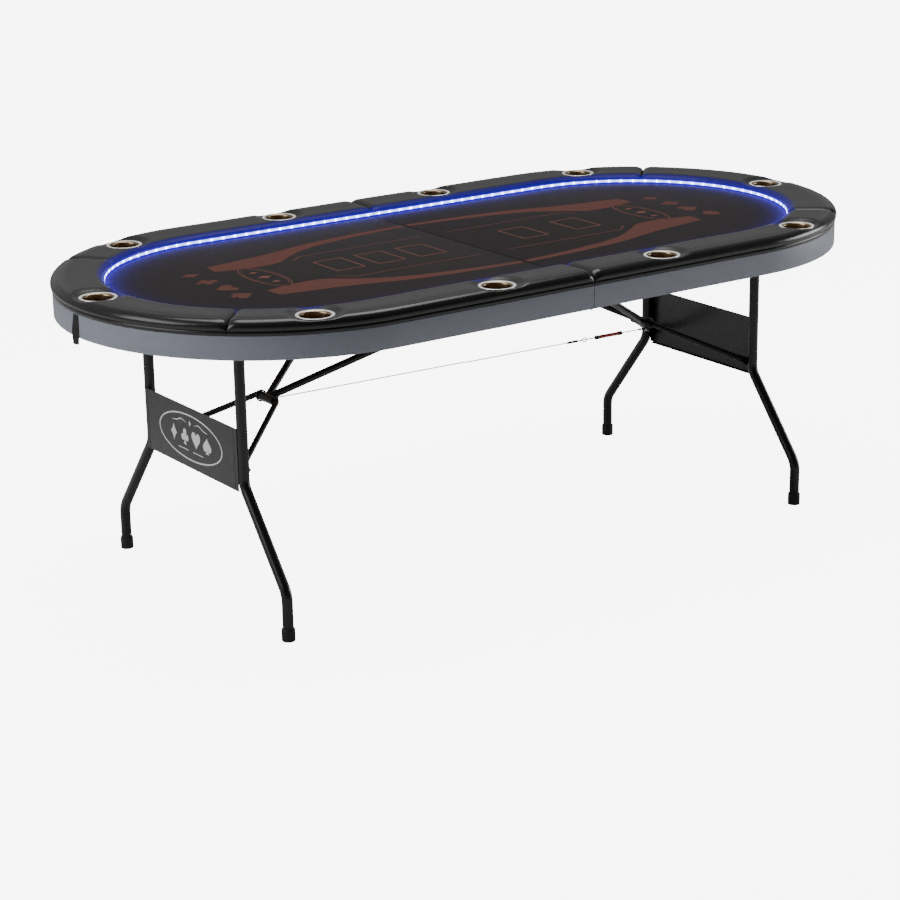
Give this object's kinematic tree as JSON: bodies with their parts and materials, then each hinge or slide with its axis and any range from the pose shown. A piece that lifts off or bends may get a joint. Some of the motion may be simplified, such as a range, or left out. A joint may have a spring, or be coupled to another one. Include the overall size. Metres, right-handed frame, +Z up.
{
  "type": "folding card table",
  "caption": "Oval folding card table with padded rails, cup holders, a lit inner edge, braced folding legs and a centre fold.",
  "frame": {"origin": "on the floor, below the middle of the table, on the fold line", "axes": "+X along the table's length toward the half that turns down, +Y across it, +Z up"},
  "size_m": [2.1096, 1.0428, 0.762],
  "materials": {
    "vinyl": "black padded vinyl, satin",
    "felt": "near-black printed playing cloth",
    "apron": "grey laminate, matt",
    "board": "raw fibreboard",
    "steel": "bright drawn steel",
    "light": "lit light strip",
    "frame_black": "black powder coat, satin",
    "zinc": "zinc plate",
    "rubber": "matt",
    "cable": "coated steel rope",
    "turnbuckle": "red sleeve",
    "strap": "black webbing",
    "plastic": "black moulded plastic",
    "rocker": "red switch key"
  },
  "bodies": {
    "left_half": {"left_deck_board": "board", "left_apron": "apron", "left_felt_pad": "felt", "left_light_strip": "light", "left_near_rail": "vinyl", "left_end_rail": "vinyl", "left_far_rail": "vinyl", "left_end_cup": "steel", "left_near_corner_cup": "steel", "left_near_side_cup": "steel", "left_far_corner_cup": "steel", "left_far_side_cup": "steel", "left_near_leg_bracket": "zinc", "left_near_brace_bracket": "zinc", "left_far_leg_bracket": "zinc", "left_far_brace_bracket": "zinc", "left_leg_pivot_rod": "zinc", "left_near_fold_leaf": "zinc", "left_far_fold_leaf": "zinc", "battery_box": "plastic"},
    "right_half": {"right_deck_board": "board", "right_apron": "apron", "right_felt_pad": "felt", "right_light_strip": "light", "right_near_rail": "vinyl", "right_end_rail": "vinyl", "right_far_rail": "vinyl", "right_end_cup": "steel", "right_near_corner_cup": "steel", "right_near_side_cup": "steel", "right_far_corner_cup": "steel", "right_far_side_cup": "steel", "right_near_leg_bracket": "zinc", "right_near_brace_bracket": "zinc", "right_far_leg_bracket": "zinc", "right_far_brace_bracket": "zinc", "right_leg_pivot_rod": "zinc", "right_near_fold_leaf": "zinc", "right_far_fold_leaf": "zinc"},
    "left_leg_frame": {"left_near_leg_tube": "frame_black", "left_near_foot_cap": "rubber", "left_far_leg_tube": "frame_black", "left_far_foot_cap": "rubber", "left_leg_panel": "frame_black"},
    "right_leg_frame": {"right_near_leg_tube": "frame_black", "right_near_foot_cap": "rubber", "right_far_leg_tube": "frame_black", "right_far_foot_cap": "rubber", "right_leg_panel": "frame_black"},
    "left_upper_brace_arms": {"left_upper_brace": "frame_black"},
    "right_upper_brace_arms": {"right_upper_brace": "frame_black"},
    "left_lower_brace_arms": {"left_near_lower_arm": "frame_black", "left_far_lower_arm": "frame_black"},
    "right_lower_brace_arms": {"right_near_lower_arm": "frame_black", "right_far_lower_arm": "frame_black"},
    "left_cable_run": {"left_cable": "cable"},
    "right_cable_run": {"right_cable": "cable"},
    "turnbuckle": {"turnbuckle_sleeve": "turnbuckle"},
    "strap": {"closing_strap": "strap"},
    "light_switch": {"light_switch_rocker": "rocker"}
  },
  "joints": [
    {"name": "table_fold", "type": "hinge", "parent": "left_half", "child": "right_half", "pos_m": [0, 0, 0.6704], "axis": [0, 1, 0], "range_deg": [0, 90]},
    {"name": "left_leg_fold", "type": "hinge", "parent": "left_half", "child": "left_leg_frame", "pos_m": [-0.767, 0, 0.69], "axis": [0, -1, 0], "range_deg": [0, 90]},
    {"name": "left_upper_brace_swing", "type": "hinge", "parent": "left_half", "child": "left_upper_brace_arms", "pos_m": [-0.079, 0, 0.699], "axis": [0, 1, 0], "range_deg": [0, 26.6]},
    {"name": "left_lower_brace_swing", "type": "hinge", "parent": "left_leg_frame", "child": "left_lower_brace_arms", "pos_m": [-0.763, 0, 0.344], "axis": [0, -1, 0], "range_deg": [0, 63.42]},
    {"name": "left_cable_swing", "type": "hinge", "parent": "left_upper_brace_arms", "child": "left_cable_run", "pos_m": [-0.57279, 0, 0.44272], "axis": [0, -1, 0], "range_deg": [0, 29.4]},
    {"name": "right_leg_fold", "type": "hinge", "parent": "right_half", "child": "right_leg_frame", "pos_m": [0.767, 0, 0.69], "axis": [0, 1, 0], "range_deg": [0, 90]},
    {"name": "right_upper_brace_swing", "type": "hinge", "parent": "right_half", "child": "right_upper_brace_arms", "pos_m": [0.079, 0, 0.699], "axis": [0, -1, 0], "range_deg": [0, 26.6]},
    {"name": "right_lower_brace_swing", "type": "hinge", "parent": "right_leg_frame", "child": "right_lower_brace_arms", "pos_m": [0.763, 0, 0.344], "axis": [0, 1, 0], "range_deg": [0, 63.42]},
    {"name": "right_cable_swing", "type": "hinge", "parent": "right_upper_brace_arms", "child": "right_cable_run", "pos_m": [0.57279, 0, 0.44272], "axis": [0, 1, 0], "range_deg": [0, 29.4]},
    {"name": "turnbuckle_turn", "type": "hinge", "parent": "right_cable_run", "child": "turnbuckle", "pos_m": [0.4, -0.0187, 0.43022], "axis": [0.9991, -0.0422, 0], "continuous": true},
    {"name": "strap_swing", "type": "hinge", "parent": "left_half", "child": "strap", "pos_m": [-1.0531, 0, 0.7224], "axis": [0, 1, 0], "range_deg": [0, 75]},
    {"name": "light_switch_rock", "type": "hinge", "parent": "left_half", "child": "light_switch", "pos_m": [-0.885, 0.026, 0.6922], "axis": [0, 1, 0], "range_deg": [0, 12]}
  ],
  "couplings": [
    {"joint": "left_upper_brace_swing", "follows": "left_leg_fold", "ratio": 0.29547},
    {"joint": "left_lower_brace_swing", "follows": "left_leg_fold", "ratio": 0.70453},
    {"joint": "left_cable_swing", "follows": "left_leg_fold", "ratio": 0.32658},
    {"joint": "right_upper_brace_swing", "follows": "right_leg_fold", "ratio": 0.29547},
    {"joint": "right_lower_brace_swing", "follows": "right_leg_fold", "ratio": 0.70453},
    {"joint": "right_cable_swing", "follows": "right_leg_fold", "ratio": 0.32658}
  ]
}
